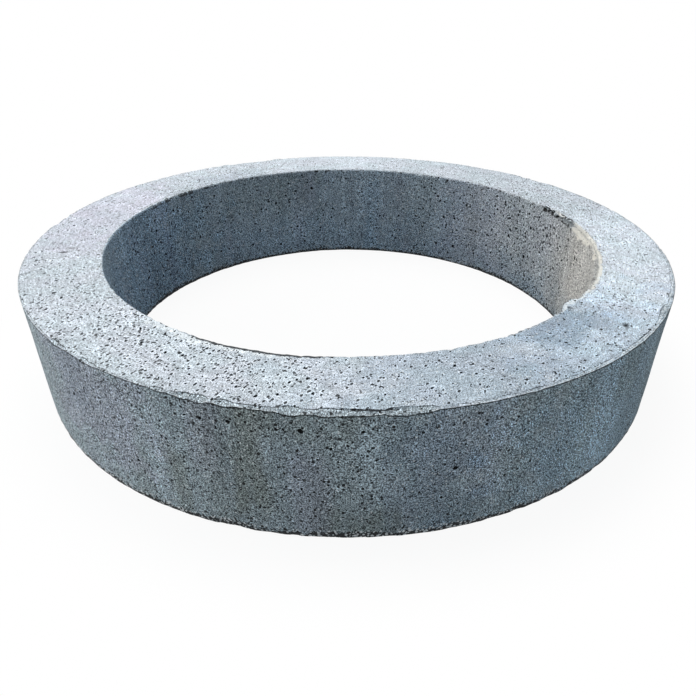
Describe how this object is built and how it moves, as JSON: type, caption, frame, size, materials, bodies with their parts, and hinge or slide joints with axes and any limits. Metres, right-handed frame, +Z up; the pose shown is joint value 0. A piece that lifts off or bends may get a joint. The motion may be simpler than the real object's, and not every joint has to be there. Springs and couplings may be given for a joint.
{
  "type": "concrete manhole adjusting ring",
  "caption": "Flat precast concrete ring with a wide round bore, laid on top of a manhole to raise its cover frame to the level of the road.",
  "frame": {"origin": "centre of the ring's underside, on its axis", "axes": "+Z up along the ring's axis, from the underside to the top face; +X and +Y are any two square directions across the ring"},
  "size_m": [0.838, 0.838, 0.1524],
  "materials": {
    "cast_concrete": "dry cast grey concrete, matt, with small air pits"
  },
  "bodies": {
    "root": {"adjusting_ring": "cast_concrete"}
  },
  "joints": []
}
